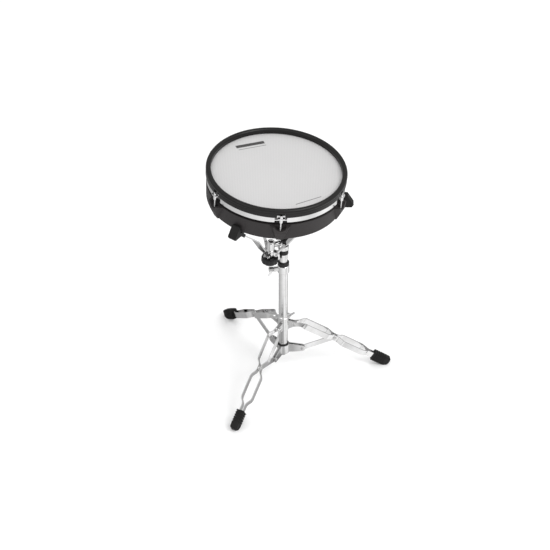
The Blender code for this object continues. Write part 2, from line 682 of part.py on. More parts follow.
def grip_pocket():
    """The slot for the end of the arm."""
    elbow, end = Vector(ARM_ELBOW), Vector(ARM_END)
    slope = (end - elbow).normalized()
    sections = []
    for centre in (elbow + slope * 30.0 * MM, end + slope * GAP):
        sections.append(arm_section(centre, slope, 6.5 * MM + GAP, ARM_HALF_THICKNESS + GAP))
    return lofted(sections)


def add_arm(index, angle, basket):
    turn = about_z(angle)
    outwards = Vector((cos(radians(angle)), sin(radians(angle)), 0.0))
    pivot = outwards * ARM_PIVOT[0] + Vector((0.0, 0.0, ARM_PIVOT[1]))
    to_pivot = (-ARM_PIVOT[0], 0.0, -ARM_PIVOT[1])
    axis = add_empty(f"arm_{index}_pivot", basket, pivot, turn)
    shape = moved(lofted([arm_section(*station) for station in arm_stations()]), to_pivot)
    arm = add_piece(f"basket_arm_{index}", shape, CHROME, axis)
    cut(arm, along_y(rod(PIN_BORE, -8.0 * MM, 8.0 * MM, HOLE_STEPS)), "pivot_hole")
    grip = add_piece(f"basket_grip_{index}", moved(grip_shape(), to_pivot), RUBBER, axis)
    cut(grip, moved(grip_pocket(), to_pivot), "pocket")
    add_piece(f"arm_{index}_pin", pin_shape(6.6 * MM, 3.2 * MM, 1.2 * MM), STEEL, basket, pivot, turn)


def add_hub(basket):
    hub = add_piece("basket_hub", ring(SHAFT_BORE, 9.0 * MM, *HUB, SMALL_STEPS, 0.8 * MM), CHROME, basket)
    outline = [(7.5 * MM, HUB[0] + 1.5 * MM), (ARM_PIVOT[0], HUB[0] + 1.8 * MM)]
    outline += arc(ARM_PIVOT, 5.0 * MM, -70.0, 90.0, 4)
    outline += [(7.5 * MM, ARM_PIVOT[1] + 7.0 * MM)]
    join(hub, ear_pairs(outline, 4.0 * MM, 6.3 * MM, ARM_ANGLES), "ears")
    cut(hub, ring(0.0, SHAFT_BORE, HUB[0] - 1.0 * MM, HUB[1] + 1.0 * MM, SMALL_STEPS), "shaft_bore")
    cut(hub, ear_holes(ARM_PIVOT, ARM_ANGLES), "pin_holes")


def add_tilter_head(basket):
    """The clamp round the basket's shaft, with the round boss that meets the tilter's lug."""
    low, high = TILTER_HEAD
    sleeve = ring(SHAFT_BORE, 9.0 * MM, low, high, SMALL_STEPS, 0.8 * MM)
    head = add_piece("tilter_head", sleeve, CHROME, basket)
    boss_end = SHAFT_OFFSET + HINGE_LUG[0] - GAP
    turn = about_z(30.0)
    boss = along_x(rod(HINGE_EYE_RADIUS, 6.5 * MM, boss_end, SMALL_STEPS, 0.6 * MM))
    join(head, moved(boss, rotation=turn), "boss")
    cut(head, ring(0.0, SHAFT_BORE, low - 1.0 * MM, high + 1.0 * MM, SMALL_STEPS), "shaft_bore")
    thread = along_x(rod(HINGE_BOLT_RADIUS + GAP, 11.8 * MM, boss_end + 5.0 * MM, HOLE_STEPS))
    cut(head, moved(thread, rotation=turn), "bolt_bore")


def add_shaft(basket):
    top = TILTER_HEAD[1] + GAP
    outline = [(0.0, -53.0 * MM), (SHAFT_RADIUS - 1.0 * MM, -53.0 * MM), (SHAFT_RADIUS, -52.0 * MM)]
    outline += [(SHAFT_RADIUS, top), (8.0 * MM, top), (8.0 * MM, top + 2.5 * MM)]
    outline += [(6.5 * MM, top + 4.0 * MM), (0.0, top + 4.0 * MM)]
    add_piece("basket_shaft", spun(outline, SMALL_STEPS), CHROME, basket)


def add_nut(basket):
    """The round black nut under the basket, with shallow finger scallops."""
    low, high = NUT
    lobes = 10
    levels = ((low, 0.90), (low + 1.6 * MM, 1.0), (high - 2.2 * MM, 1.0), (high, 0.86))
    sections = []
    for height, size in levels:
        section = []
        for angle in np.linspace(0.0, 2.0 * pi, 4 * lobes, endpoint=False):
            radius = size * (NUT_RADIUS - 0.5 * MM * (1.0 - cos(lobes * angle)))
            section.append((radius * cos(angle), radius * sin(angle), height))
        sections.append(section)
    nut = add_piece("basket_nut", lofted(sections), BLACK_PLASTIC, basket)
    cut(nut, rod(SHAFT_BORE, low - 2.0 * MM, high + 2.0 * MM, SMALL_STEPS), "shaft_bore")


# --- the pad --------------------------------------------------------------------------------
def around_lugs(shape_maker):
    """One copy of a shape, made at +X, at each lug."""
    return gathered([moved(shape_maker(), rotation=about_z(angle)) for angle in LUG_ANGLES])


def boss_shape():
    """The block on the side of the shell that a tension rod screws into, narrower at its foot."""
    levels = (
        (SHELL_TOP - 0.5 * MM, 164.0 * MM, 24.0 * MM, 17.0 * MM),
        (SHELL_TOP - 17.0 * MM, 164.0 * MM, 17.5 * MM, 12.0 * MM),
        (SHELL_BOTTOM + 1.0 * MM, 154.6 * MM, 8.5 * MM, 7.0 * MM),
    )
    inner = 150.6 * MM
    sections = []
    for height, outer, root, face in levels:
        right = [(inner, -root, height), (outer, -face, height)]
        left = [(outer, face, height), (inner, root, height)]
        sections.append(right + left)
    return lofted(sections)


def boss_scoop():
    """The hollow in the top of a boss round its rod."""
    scoop = along_x(rod(12.5 * MM, 153.0 * MM, 172.0 * MM, SMALL_STEPS))
    return moved(scoop, (0.0, 0.0, SHELL_TOP + 2.0 * MM))


def boss_hole():
    return moved(rod(ROD_BORE, -62.0 * MM, -35.0 * MM, PIN_STEPS), (ROD_CIRCLE, 0.0, 0.0))


def add_shell(pad):
    wall_top = MESH_TOP - 1.1 * MM
    floor_top = SHELL_BOTTOM + SHELL_WALL
    outline = [(0.0, floor_top), (147.5 * MM, floor_top), (150.2 * MM, floor_top + 2.7 * MM)]
    outline += [(SHELL_RADIUS - SHELL_WALL, SHELL_TOP - SHELL_WALL), (143.2 * MM, SHELL_TOP - SHELL_WALL)]
    outline += [(143.2 * MM, wall_top), (145.9 * MM, wall_top), (145.9 * MM, SHELL_TOP)]
    outline += [(SHELL_RADIUS - 1.6 * MM, SHELL_TOP), (SHELL_RADIUS, SHELL_TOP - 1.6 * MM)]
    outline += [(153.5 * MM, SHELL_BOTTOM + 5.0 * MM), (152.2 * MM, SHELL_BOTTOM + 1.8 * MM)]
    outline += [(149.4 * MM, SHELL_BOTTOM), (0.0, SHELL_BOTTOM)]
    shell = add_piece("shell", spun(outline, RING_STEPS), SHELL_PLASTIC, pad)
    join(shell, around_lugs(boss_shape), "bosses")
    cut(shell, around_lugs(boss_scoop), "scoops")
    cut(shell, around_lugs(boss_hole), "rod_holes")


def add_head(pad):
    """The mesh head, which folds down over the shell's edge, and the hoop it is bonded to."""
    fold = 146.9 * MM
    thickness = 0.65 * MM
    outline = [(0.0, MESH_TOP), (fold - thickness, MESH_TOP), (fold, MESH_TOP - thickness)]
    outline += [(fold, -36.0 * MM), (fold - thickness, -36.0 * MM)]
    outline += [(fold - thickness, MESH_TOP - thickness), (0.0, MESH_TOP - thickness)]
    add_piece("mesh_head", spun(outline, RING_STEPS), MESH, pad)
    hoop = ring(fold + 0.4 * MM, 151.2 * MM, -37.0 * MM, -30.6 * MM, RING_STEPS)
    add_piece("flesh_hoop", hoop, BLACK_PLASTIC, pad)


def ear_shape():
    """One of the tabs on the counter hoop that a tension rod pulls down."""
    corner = 3.5 * MM
    outer = ROD_CIRCLE + 5.5 * MM
    outline = [(152.4 * MM, -EAR_HALF_WIDTH)]
    outline += arc((outer - corner, -EAR_HALF_WIDTH + corner), corner, -90.0, 0.0, 3)
    outline += arc((outer - corner, EAR_HALF_WIDTH - corner), corner, 0.0, 90.0, 3)
    outline += [(152.4 * MM, EAR_HALF_WIDTH)]
    return slab(outline, *EAR)


def ear_boss():
    return moved(rod(4.2 * MM, -29.0 * MM, EAR[1] - 1.0 * MM, HOLE_STEPS), (ROD_CIRCLE, 0.0, 0.0))


def ear_hole():
    return moved(rod(ROD_BORE, -33.0 * MM, -10.0 * MM, PIN_STEPS), (ROD_CIRCLE, 0.0, 0.0))


def hoop_window():
    """The break in the hoop's bright band at each lug."""
    return box((151.0 * MM, -13.5 * MM, -33.8 * MM), (157.0 * MM, 13.5 * MM, -20.4 * MM))


def add_counter_hoop(pad):
    inner, outer = 151.6 * MM, 154.1 * MM
    top, bottom = -14.6 * MM, -33.2 * MM
    flange = (-30.2 * MM, -28.2 * MM)
    outline = [(inner, top), (outer, top), (outer, bottom), (inner, bottom), (inner, flange[0])]
    outline += [(147.7 * MM, flange[0]), (147.7 * MM, flange[1]), (inner, flange[1])]
    hoop = add_piece("counter_hoop", spun(outline, RING_STEPS), CHROME, pad)
    cut(hoop, around_lugs(hoop_window), "windows")
    join(hoop, around_lugs(ear_shape), "ears")
    join(hoop, around_lugs(ear_boss), "ear_bosses")
    cut(hoop, around_lugs(ear_hole), "ear_holes")


def skirt_notch():
    """The pocket in the rubber round each ear and its rod's head."""
    return box((153.2 * MM, -8.8 * MM, -21.0 * MM), (160.0 * MM, 8.8 * MM, -9.6 * MM))


def add_rim_cover(pad):
    """The rubber rim: a bead over the hoop, with a skirt that is notched at each lug."""
    centre = (RIM_BEAD_CENTRE, -RIM_BEAD_RADIUS)
    underside = MESH_TOP + 0.4 * MM
    outline = [(144.8 * MM, underside)]
    outline += arc(centre, RIM_BEAD_RADIUS, 180.0, 0.0, 5)
    outline += [(156.0 * MM, -20.0 * MM), (154.4 * MM, -20.0 * MM), (154.4 * MM, -14.2 * MM)]
    outline += [(151.2 * MM, -14.2 * MM), (151.2 * MM, underside)]
    rim = add_piece("rim_cover", spun(outline, RING_STEPS), RUBBER, pad)
    cut(rim, around_lugs(skirt_notch), "notches")


def add_tension_rod(index, angle, pad):
    """A square-headed rod through an ear, threaded into the shell. Its origin is on its axis."""
    seat = EAR[1] + GAP
    outline = [(0.0, -60.5 * MM), (ROD_RADIUS, -60.5 * MM), (ROD_RADIUS, seat), (3.6 * MM, seat)]
    outline += [(3.6 * MM, seat + 1.2 * MM), (3.0 * MM, seat + 2.0 * MM), (0.0, seat + 2.0 * MM)]
    location = (ROD_CIRCLE * cos(radians(angle)), ROD_CIRCLE * sin(radians(angle)), 0.0)
    turn = about_z(angle)
    piece = add_piece(f"tension_rod_{index}", spun(outline, PIN_STEPS), CHROME, pad, location, turn)
    half = 2.3 * MM
    join(piece, box((-half, -half, seat + 1.0 * MM), (half, half, seat + 4.9 * MM)), "square")


def add_sensor(pad):
    """The strap and foam cone under the middle of the head."""
    floor_top = SHELL_BOTTOM + SHELL_WALL + GAP
    path = [(-118.0, 0.0), (-96.0, 0.0), (-80.0, 16.0), (80.0, 16.0), (96.0, 0.0), (118.0, 0.0)]
    path = [Vector((x * MM, floor_top + 1.0 * MM + z * MM)) for x, z in path]
    outline = shifted(path, 1.0 * MM) + list(reversed(shifted(path, -1.0 * MM)))
    strap = plate([tuple(point) for point in outline], -16.0 * MM, 16.0 * MM)
    add_piece("sensor_strap", strap, STEEL, pad)
    base = floor_top + 18.0 * MM + GAP
    top = MESH_TOP - 0.65 * MM - GAP
    outline = [(0.0, base), (21.0 * MM, base), (21.0 * MM, base + 6.0 * MM)]
    outline += [(8.0 * MM, top), (0.0, top)]
    add_piece("sensor_cone", spun(outline, TUBE_STEPS), FOAM, pad)


def add_pad(pad):
    add_shell(pad)
    add_head(pad)
    add_counter_hoop(pad)
    add_rim_cover(pad)
    add_sensor(pad)
    for index, angle in enumerate(LUG_ANGLES, start=1):
        add_tension_rod(index, angle, pad)


def centre_on_floor(stand):
    """Move the model so that the origin is the middle of its box, on the floor."""
    bpy.context.view_layer.update()
    graph = bpy.context.evaluated_depsgraph_get()
    lowest, highest = [], []
    for piece in bpy.context.scene.objects:
        if piece.type != "MESH" or piece.hide_render:
            continue
        evaluated = piece.evaluated_get(graph)
        mesh = evaluated.to_mesh()
        corners = np.array([evaluated.matrix_world @ vertex.co for vertex in mesh.vertices])
        evaluated.to_mesh_clear()
        lowest.append(corners.min(axis=0))
        highest.append(corners.max(axis=0))
    low = np.min(lowest, axis=0)
    high = np.max(highest, axis=0)
    stand.location = (-0.5 * (low[0] + high[0]), -0.5 * (low[1] + high[1]), -low[2])
    bpy.context.view_layer.update()


def main():
    clear_scene()
    stand = add_empty("stand")
    mast = add_empty("mast", stand, (0.0, 0.0, HINGE_HEIGHT))
    along_hinge = Quaternion((0.0, 0.0, 1.0), HINGE_AZIMUTH)
    hinge = add_empty("hinge", mast, (0.0, 0.0, 0.0), along_hinge)
    direction = Vector((cos(HINGE_AZIMUTH), sin(HINGE_AZIMUTH), 0.0))
    lean = Quaternion(direction, TILT)
    basket = add_empty("basket", mast, -SHAFT_OFFSET * direction, lean)
    pad = add_empty("pad", basket, (0.0, 0.0, PAD_HEIGHT))
    collar = add_empty("leg_collar_middle", stand, (0.0, 0.0, sum(LEG_COLLAR) / 2.0))
    add_tubes(stand, mast)
    add_height_clamp(stand)
    add_mast_ring(mast)
    add_tilter_base(hinge)
    add_tilter_bolt(hinge)
    add_brace_collar(stand)
    add_leg_collar(collar)
    for index, azimuth in enumerate(LEG_AZIMUTHS, start=1):
        add_leg(index, azimuth, stand, collar)
    add_shaft(basket)
    add_hub(basket)
    add_tilter_head(basket)
    add_nut(basket)
    for index, angle in enumerate(ARM_ANGLES, start=1):
        add_arm(index, angle, basket)
    add_pad(pad)
    centre_on_floor(stand)


main()
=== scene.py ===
"""The look of the practice pad: fine surfaces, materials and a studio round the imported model.

Metres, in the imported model's own frame. Pieces of the pad itself are made in the pad's own
coordinates, whose origin is the middle of the top of its rim, and then put in place.
"""

import json
from math import cos, pi, radians, sin

import bmesh
import bpy
import numpy as np
from mathutils import Matrix, Vector


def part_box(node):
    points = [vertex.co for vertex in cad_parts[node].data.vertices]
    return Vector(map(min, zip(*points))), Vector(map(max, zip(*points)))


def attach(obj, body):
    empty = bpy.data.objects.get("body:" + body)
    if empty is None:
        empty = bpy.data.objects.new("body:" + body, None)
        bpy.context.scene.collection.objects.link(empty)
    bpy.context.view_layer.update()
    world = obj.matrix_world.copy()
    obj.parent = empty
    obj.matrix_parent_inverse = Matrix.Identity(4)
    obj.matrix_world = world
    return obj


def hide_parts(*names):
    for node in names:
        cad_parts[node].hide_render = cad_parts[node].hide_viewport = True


MM = 0.001
MERGE = 0.001 * MM

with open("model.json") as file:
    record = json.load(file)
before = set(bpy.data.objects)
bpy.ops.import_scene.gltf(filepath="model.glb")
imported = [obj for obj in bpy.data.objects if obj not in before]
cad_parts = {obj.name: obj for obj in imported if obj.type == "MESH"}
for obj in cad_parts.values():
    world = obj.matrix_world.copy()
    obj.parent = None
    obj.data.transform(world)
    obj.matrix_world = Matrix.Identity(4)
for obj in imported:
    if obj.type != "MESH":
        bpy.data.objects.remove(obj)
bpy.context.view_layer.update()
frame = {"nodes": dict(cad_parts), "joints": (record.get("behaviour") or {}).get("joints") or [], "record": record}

RECORD = frame["record"]
JOINTS = {joint["name"]: joint for joint in frame["joints"]}
BODY_OF = {node: body for body, nodes in RECORD["behaviour"]["bodies"].items() for node in nodes}

# --- driving dimensions ---------------------------------------------------------------------
PAD_HEIGHT = 224.4 * MM              # from the basket's hinge to the top of the rim
LUGS = 6
FIRST_LUG = radians(-86.15)
ROD_CIRCLE = 158.0 * MM
RIM_BEAD_CENTRE = 150.4 * MM
RIM_BEAD_RADIUS = 5.8 * MM
MESH_TOP = -12.9 * MM
MESH_FOLD = 146.9 * MM
MESH_HEM = -36.0 * MM
SHELL_TOP = -39.8 * MM
SHELL_BOTTOM = -80.5 * MM
SHELL_RADIUS = 154.4 * MM
SHELL_WALL = 3.0 * MM
EAR = (-19.5 * MM, -16.7 * MM)
NUT = (-47.6 * MM, -31.8 * MM)
NUT_RADIUS = 20.0 * MM
HEADING_TURN = radians(22.0)         # of the plain marks printed on the head
FOOTNOTE_TURN = radians(30.0)
WEAVE_TURN = radians(45.0)
THREAD_PITCH = 1.5 * MM
RIPPLE_PITCH = 5.0 * MM
TUBE_WALL = 1.2 * MM
FINE = 192                           # steps round the pad
ROUND = 48                           # steps round the stand's fittings

# --- the studio's dimensions ----------------------------------------------------------------
# brightness round the stand, from in front (0) by the left (0.25), behind (0.5) and the right (0.75)
FLOOR_AROUND = [
    (0.0, 0.92), (0.07, 0.82), (0.145, 0.66), (0.233, 0.52), (0.35, 0.40), (0.5, 0.30),
    (0.65, 0.62), (0.72, 0.84), (0.767, 1.0), (0.81, 0.86), (0.855, 0.70), (0.93, 0.92), (1.0, 0.92),
]
SKY_AROUND = [
    (0.0, 0.90), (0.18, 0.60), (0.30, 0.85), (0.42, 0.45), (0.50, 0.55), (0.60, 0.50),
    (0.68, 1.0), (0.80, 0.90), (1.0, 0.90),
]
FLOOR_OUTWARDS = [(0.0, 0.45), (0.3, 0.62), (0.65, 0.90), (1.0, 1.0)]
SKY_UPWARDS = [(0.0, 0.50), (0.20, 0.42), (0.45, 0.50), (0.62, 0.95), (0.80, 1.0), (1.0, 0.75)]
FLOOR_NEAR = 0.40                    # the radius inside which the reflected floor is dimmer
FLOOR_SIZE = 30.0
FLOOR_DROP = 0.0002                  # the floor lies under the feet and its reflected card over it
CARD_RADIUS = 9.0
SKY_RADIUS = 8.5
FLOOR_GLOW = 1.15
SKY_GLOW = 1.3
WORLD_GLOW = 1.3
LIGHT_TARGET = (0.0, 0.0, 0.3)
CAMERA_ELEVATION = radians(34.7956)
CAMERA_DISTANCE = 3.0649
CAMERA_LENS = 85.09
CAMERA_HEIGHT = 277.5 * MM           # of the point that it looks at
CAMERA_ASIDE = 19.82 * MM            # of that point, to the left of the tube


# --- places ---------------------------------------------------------------------------------
def basket_place():
    """The basket's own coordinates: its shaft's axis is +Z and its origin is on the hinge."""
    joint = JOINTS["nut_turn"]
    lean = Vector((0.0, 0.0, 1.0)).rotation_difference(Vector(joint["axis"]))
    return Matrix.Translation(joint["pos_m"]) @ lean.to_matrix().to_4x4()


BASKET = basket_place()
PAD = BASKET @ Matrix.Translation((0.0, 0.0, PAD_HEIGHT))


def lug_turn(index):
    """The turn about the pad's axis that brings +X to a lug."""
    return Matrix.Rotation(FIRST_LUG + index * 2.0 * pi / LUGS, 4, "Z")


def facing(point, axis):
    """Coordinates at a point whose +Z is an axis."""
    turn = Vector((0.0, 0.0, 1.0)).rotation_difference(Vector(axis))
    return Matrix.Translation(point) @ turn.to_matrix().to_4x4()


# --- node materials -------------------------------------------------------------------------
class Look:
    """A material with short ways to add and join its nodes."""

    def __init__(self, name, **sockets):
        self.material = bpy.data.materials.new(name)
        self.material.use_nodes = True
        self.tree = self.material.node_tree
        self.shader = self.tree.nodes["Principled BSDF"]
        for socket, value in sockets.items():
            self.shader.inputs[socket.replace("_", " ")].default_value = value
        self.place = self.add("ShaderNodeTexCoord").outputs["Object"]

    def add(self, kind, **values):
        node = self.tree.nodes.new(kind)
        for key, value in values.items():
            setattr(node, key, value)
        return node

    def link(self, source, target):
        self.tree.links.new(source, target)

    def stretched(self, scale):
        mapping = self.add("ShaderNodeMapping")
        mapping.inputs["Scale"].default_value = scale
        self.link(self.place, mapping.inputs["Vector"])
        return mapping.outputs["Vector"]

    def noise(self, scale, detail=3.0, roughness=0.6, vector=None):
        node = self.add("ShaderNodeTexNoise")
        node.inputs["Scale"].default_value = scale
        node.inputs["Detail"].default_value = detail
        node.inputs["Roughness"].default_value = roughness
        self.link(vector or self.place, node.inputs["Vector"])
        return node.outputs["Fac"]

    def cells(self, scale, vector=None):
        node = self.add("ShaderNodeTexVoronoi")
        node.inputs["Scale"].default_value = scale
        self.link(vector or self.place, node.inputs["Vector"])
        return node.outputs["Distance"]

    def ramp(self, source, stops):
        """A colour ramp; each stop is (position, grey or colour)."""
        node = self.add("ShaderNodeValToRGB")
        points = node.color_ramp.elements
        while len(points) < len(stops):
            points.new(0.5)
        for point, (position, colour) in zip(points, stops):
            point.position = position
            shade = colour if isinstance(colour, tuple) else (colour, colour, colour)
            point.color = (*shade, 1.0)
        self.link(source, node.inputs["Fac"])
        return node.outputs["Color"]

    def span(self, source, low, high, start=0.0, end=1.0):
        """A value brought from start..end to low..high, and held within them."""
        node = self.add("ShaderNodeMapRange")
        limits = {"From Min": start, "From Max": end, "To Min": low, "To Max": high}
        for socket, value in limits.items():
            node.inputs[socket].default_value = value
        self.link(source, node.inputs["Value"])
        return node.outputs["Result"]

    def math(self, operation, first, second=0.0):
        """The result of an operation on two numbers or sockets."""
        node = self.add("ShaderNodeMath", operation=operation)
        for socket, value in zip(node.inputs, (first, second)):
            if isinstance(value, (int, float)):
                socket.default_value = value
            else:
                self.link(value, socket)
        return node.outputs["Value"]

    def colour(self, source):
        self.link(source, self.shader.inputs["Base Color"])

    def rough(self, source):
        self.link(source, self.shader.inputs["Roughness"])

    def bump(self, source, height, strength=1.0, base=None):
        node = self.add("ShaderNodeBump")
        node.inputs["Distance"].default_value = height
        node.inputs["Strength"].default_value = strength
        self.link(source, node.inputs["Height"])
        if base is not None:
            self.link(base, node.inputs["Normal"])
        self.link(node.outputs["Normal"], self.shader.inputs["Normal"])
        return node.outputs["Normal"]


def chrome_look():
    """Bright plate with faint smears, fine polishing lines and a hint of waviness."""
    look = Look("chrome", Metallic=1.0)
    smears = look.noise(38.0, 5.0, 0.65)
    lines = look.noise(900.0, 2.0, 0.5, look.stretched((1.0, 1.0, 0.06)))
    look.colour(look.ramp(smears, [(0.25, (0.74, 0.735, 0.73)), (0.75, (0.86, 0.86, 0.865))]))
    dulled = look.span(smears, 0.035, 0.13, 0.3, 0.8)
    look.rough(look.math("ADD", dulled, look.span(lines, 0.0, 0.05)))
    waves = look.bump(look.noise(55.0, 2.0, 0.5), 0.00025, 0.35)
    look.bump(lines, 0.00001, 0.3, waves)
    return look.material


def zinc_look():
    """Duller plated steel of the rivets."""
    look = Look("zinc", Metallic=1.0)
    mottle = look.noise(420.0, 4.0, 0.6)
    look.colour(look.ramp(mottle, [(0.3, (0.52, 0.51, 0.50)), (0.7, (0.70, 0.70, 0.71))]))
    look.rough(look.span(mottle, 0.20, 0.38, 0.3, 0.7))
    look.bump(mottle, 0.00004, 0.5)
    return look.material


def rubber_look():
    """Moulded rubber of the feet and grips, with fine grain and a little dust."""
    look = Look("rubber", Specular_IOR_Level=0.24)
    grain = look.noise(1500.0, 3.0, 0.6)
    dust = look.noise(46.0, 5.0, 0.7)
    look.colour(look.ramp(dust, [(0.35, (0.0065, 0.0062, 0.006)), (0.8, (0.013, 0.0125, 0.012))]))
    look.rough(look.math("ADD", look.span(dust, 0.46, 0.62), look.span(grain, 0.0, 0.08)))
    look.bump(grain, 0.00009, 0.55)
    return look.material


def rim_look():
    """Smoother rubber of the rim, with a soft sheen where sticks have polished it."""
    look = Look("rim_rubber", Specular_IOR_Level=0.27)
    grain = look.noise(1900.0, 2.0, 0.5)
    wear = look.noise(24.0, 4.0, 0.6)
    look.colour(look.ramp(wear, [(0.3, (0.006, 0.0056, 0.0054)), (0.75, (0.010, 0.0094, 0.009))]))
    look.rough(look.math("ADD", look.span(wear, 0.24, 0.38), look.span(grain, 0.0, 0.06)))
    look.bump(grain, 0.00005, 0.4)
    return look.material


def black_plastic_look():
    """Moulded black plastic of the nut, rings and handle, faintly filmed by hands."""
    look = Look("black_plastic", Specular_IOR_Level=0.32)
    grain = look.cells(1300.0)
    film = look.noise(60.0, 4.0, 0.6)
    look.colour(look.ramp(film, [(0.3, (0.007, 0.0068, 0.007)), (0.75, (0.013, 0.0125, 0.013))]))
    look.rough(look.span(film, 0.26, 0.42, 0.25, 0.8))
    look.bump(grain, 0.00004, 0.35)
    return look.material


def shell_look():
    """Dark warm-grey moulded shell with a fine spark-eroded texture."""
    look = Look("shell_plastic", Specular_IOR_Level=0.30)
    grain = look.cells(1100.0)
    fine = look.noise(2200.0, 2.0, 0.5)
    tone = look.noise(14.0, 4.0, 0.55)
    look.colour(look.ramp(tone, [(0.25, (0.020, 0.0175, 0.0178)), (0.8, (0.030, 0.0265, 0.027))]))
    look.rough(look.math("ADD", look.span(tone, 0.40, 0.52), look.span(fine, 0.0, 0.07)))
    look.bump(fine, 0.00003, 0.35, look.bump(grain, 0.00007, 0.5))
    return look.material


def foam_look():
    """Open-celled foam of the sensor's cone."""
    look = Look("foam", Specular_IOR_Level=0.1)
    pores = look.cells(700.0)
    look.colour(look.ramp(pores, [(0.1, 0.02), (0.6, 0.075)]))
    look.rough(look.span(pores, 0.85, 1.0))
    look.bump(pores, 0.0006, 0.8)
    return look.material


def bar_mask(look, place, centre, half, turn, edge):
    """1 inside a turned rectangle on the head, with its edge softened."""
    across, up = (look.math("SUBTRACT", place.outputs[axis], centre[axis]) for axis in (0, 1))
    distances = []
    for size, (by_across, by_up) in zip(half, ((cos(turn), sin(turn)), (-sin(turn), cos(turn)))):
        along = look.math("MULTIPLY", across, by_across)
        beside = look.math("MULTIPLY", up, by_up)
        offset = look.math("ABSOLUTE", look.math("ADD", along, beside))
        distances.append(look.math("SUBTRACT", offset, size))
    return look.span(look.math("MAXIMUM", *distances), 1.0, 0.0, -edge, edge)


def crossed_waves(look, place, pitch):
    """A pattern of bumps in two crossed directions, between -1 and 1."""
    waves = []
    for axis in ("X", "Y"):
        phase = look.math("MULTIPLY", place.outputs[axis], 2.0 * pi / pitch)
        waves.append(look.math("SINE", phase))
    return look.math("MULTIPLY", *waves)


def split_place(look, place):
    node = look.add("ShaderNodeSeparateXYZ")
    look.link(place, node.inputs["Vector"])
    return node


def mesh_look():
    """Tight two-way weave in pale grey, with a plain printed bar and rules in place of any name."""
    look = Look("mesh", Specular_IOR_Level=0.25, Sheen_Weight=0.15, Sheen_Roughness=0.5)
    place = split_place(look, look.place)
    cloth_turn = look.add("ShaderNodeMapping")
    cloth_turn.inputs["Rotation"].default_value = (0.0, 0.0, WEAVE_TURN)
    look.link(look.place, cloth_turn.inputs["Vector"])
    cloth_place = split_place(look, cloth_turn.outputs["Vector"])
    weave = crossed_waves(look, cloth_place, THREAD_PITCH)
    ripple = crossed_waves(look, cloth_place, RIPPLE_PITCH)
    patches = look.span(look.noise(9.0, 4.0, 0.5), -0.15, 0.15)
    tone = look.math("ADD", look.span(weave, -0.5, 0.5, -1.0, 1.0), patches)
    tone = look.math("ADD", tone, look.span(ripple, -0.45, 0.45, -1.0, 1.0))
    greys = [(0.0, (0.44, 0.436, 0.436)), (1.0, (0.64, 0.635, 0.635))]
    cloth = look.ramp(look.span(tone, 0.0, 1.0, -1.1, 1.1), greys)
    marks = (
        ((-60.0 * MM, 97.0 * MM), (34.0 * MM, 5.0 * MM), HEADING_TURN, 0.4 * MM),
        ((-54.5 * MM, 86.5 * MM), (33.0 * MM, 0.7 * MM), HEADING_TURN, 0.3 * MM),
        ((69.0 * MM, -98.0 * MM), (32.0 * MM, 0.8 * MM), FOOTNOTE_TURN, 0.3 * MM),
    )
    bar, rule, note = (bar_mask(look, place, *mark) for mark in marks)
    ink = look.math("MAXIMUM", look.math("MAXIMUM", bar, rule), note)
    worn_ink = look.math("MULTIPLY", ink, look.span(weave, 1.0, 0.8, 0.2, 1.0))
    mix = look.add("ShaderNodeMix", data_type="RGBA")
    look.link(worn_ink, mix.inputs["Factor"])
    look.link(cloth, mix.inputs["A"])
    mix.inputs["B"].default_value = (0.035, 0.033, 0.033, 1.0)
    look.colour(mix.outputs["Result"])
    look.rough(look.span(weave, 0.62, 0.78, -1.0, 1.0))
    look.bump(weave, 0.00022, 0.6)
    return look.material


LOOKS = {
    "chrome": chrome_look(),
    "steel": zinc_look(),
    "rubber": rubber_look(),
    "rim_rubber": rim_look(),
    "black_plastic": black_plastic_look(),
    "shell_plastic": shell_look(),
    "mesh": mesh_look(),
    "foam": foam_look(),
}
SLOT_OF = {part["node"]: part["material_slot"] for part in RECORD["subparts"]}


# --- shapes ---------------------------------------------------------------------------------
def spun(outline, steps):
    """A solid turned about Z from a closed outline of (radius, height) points."""
    shape = bmesh.new()
    corners = [shape.verts.new((radius, 0.0, height)) for radius, height in outline]
    edges = []
    for first, second in zip(corners, corners[1:] + corners[:1]):
        if max(first.co.x, second.co.x) > MERGE:
            edges.append(shape.edges.new((first, second)))
    bmesh.ops.spin(
        shape, geom=corners + edges, axis=(0.0, 0.0, 1.0), cent=(0.0, 0.0, 0.0),
        angle=2.0 * pi, steps=steps, use_merge=True,
    )
    bmesh.ops.remove_doubles(shape, verts=shape.verts, dist=MERGE)
    return shape


def lofted(sections):
    """A solid through rings of points, all with the same count, closed by its two end rings."""
    shape = bmesh.new()
    rings = [[shape.verts.new(point) for point in section] for section in sections]
    count = len(rings[0])
    for lower, upper in zip(rings, rings[1:]):
        for index in range(count):
            after = (index + 1) % count
            shape.faces.new((lower[index], lower[after], upper[after], upper[index]))
    shape.faces.new(rings[0])
    shape.faces.new(rings[-1])
    return shape


def slab(outline, low, high):
    """A flat plate with an outline of (x, y) points."""
    return lofted([[(x, y, z) for x, y in outline] for z in (low, high)])


def box(low, high):
    outline = [(low[0], low[1]), (high[0], low[1]), (high[0], high[1]), (low[0], high[1])]
    return slab(outline, low[2], high[2])


def round_bar(radius, low, high, steps):
    """An upright cylinder where the rods stand, on their circle."""
    bar = spun([(0.0, low), (radius, low), (radius, high), (0.0, high)], steps)
    return moved(bar, Matrix.Translation((ROD_CIRCLE, 0.0, 0.0)))


def arc(centre, radius, start, end, steps):
    """Points along an arc between two angles in degrees."""
    points = []
    for angle in np.linspace(radians(start), radians(end), steps + 1):
        points.append((centre[0] + radius * cos(angle), centre[1] + radius * sin(angle)))
    return points


def moved(shape, matrix):
    bmesh.ops.transform(shape, matrix=matrix, verts=shape.verts)
    return shape


